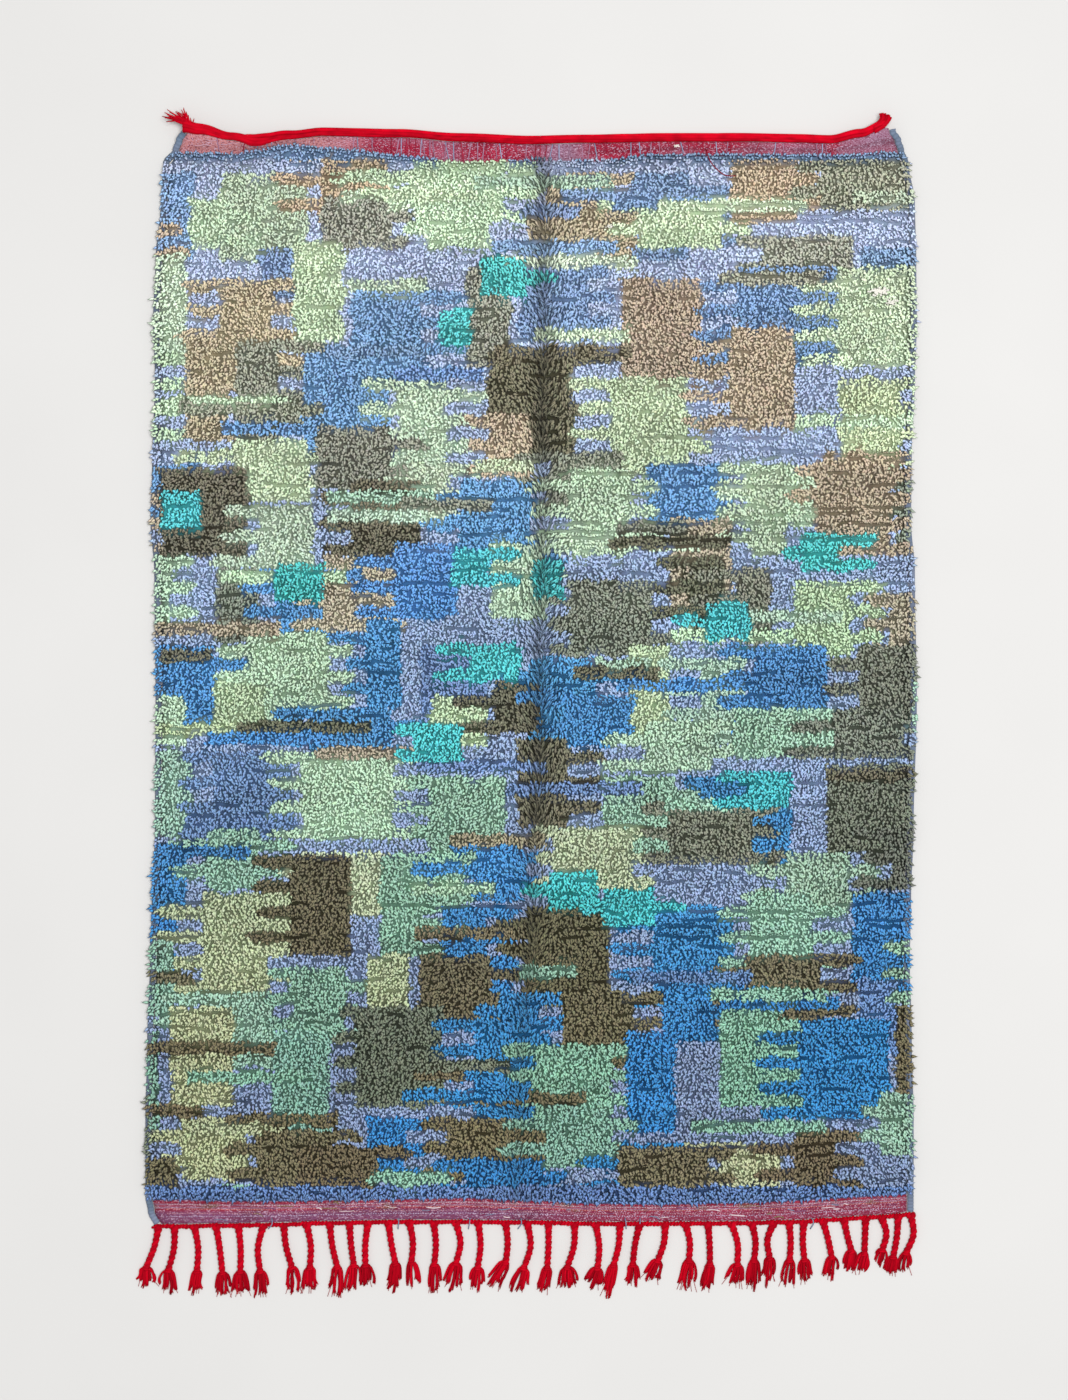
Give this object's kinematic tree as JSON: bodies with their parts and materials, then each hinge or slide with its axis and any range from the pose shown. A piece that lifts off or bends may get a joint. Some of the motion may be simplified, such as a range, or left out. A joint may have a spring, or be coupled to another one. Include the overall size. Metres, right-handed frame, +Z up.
{
  "type": "knotted pile rug with a tasselled fringe",
  "caption": "Hand-knotted wool pile rug lying flat, with flat-woven end bands, bound sides, a twined header with plied red tassels at one end and a red cord at the other",
  "frame": {"origin": "the middle of the rug's underside, on the surface that the rug lies on", "axes": "+X across the rug, +Y along it towards the corded end with the tassels towards -Y, +Z up out of the pile"},
  "size_m": [1.2208, 1.8521, 0.023],
  "materials": {
    "pile_wool": "matte, shaggy",
    "binding_wool": "matte",
    "fringe_wool": "matte",
    "cord_wool": "matte"
  },
  "bodies": {
    "root": {"rug_cloth": "pile_wool", "binding_left": "binding_wool", "binding_right": "binding_wool", "fringe": "fringe_wool", "top_cord": "cord_wool"}
  },
  "joints": []
}
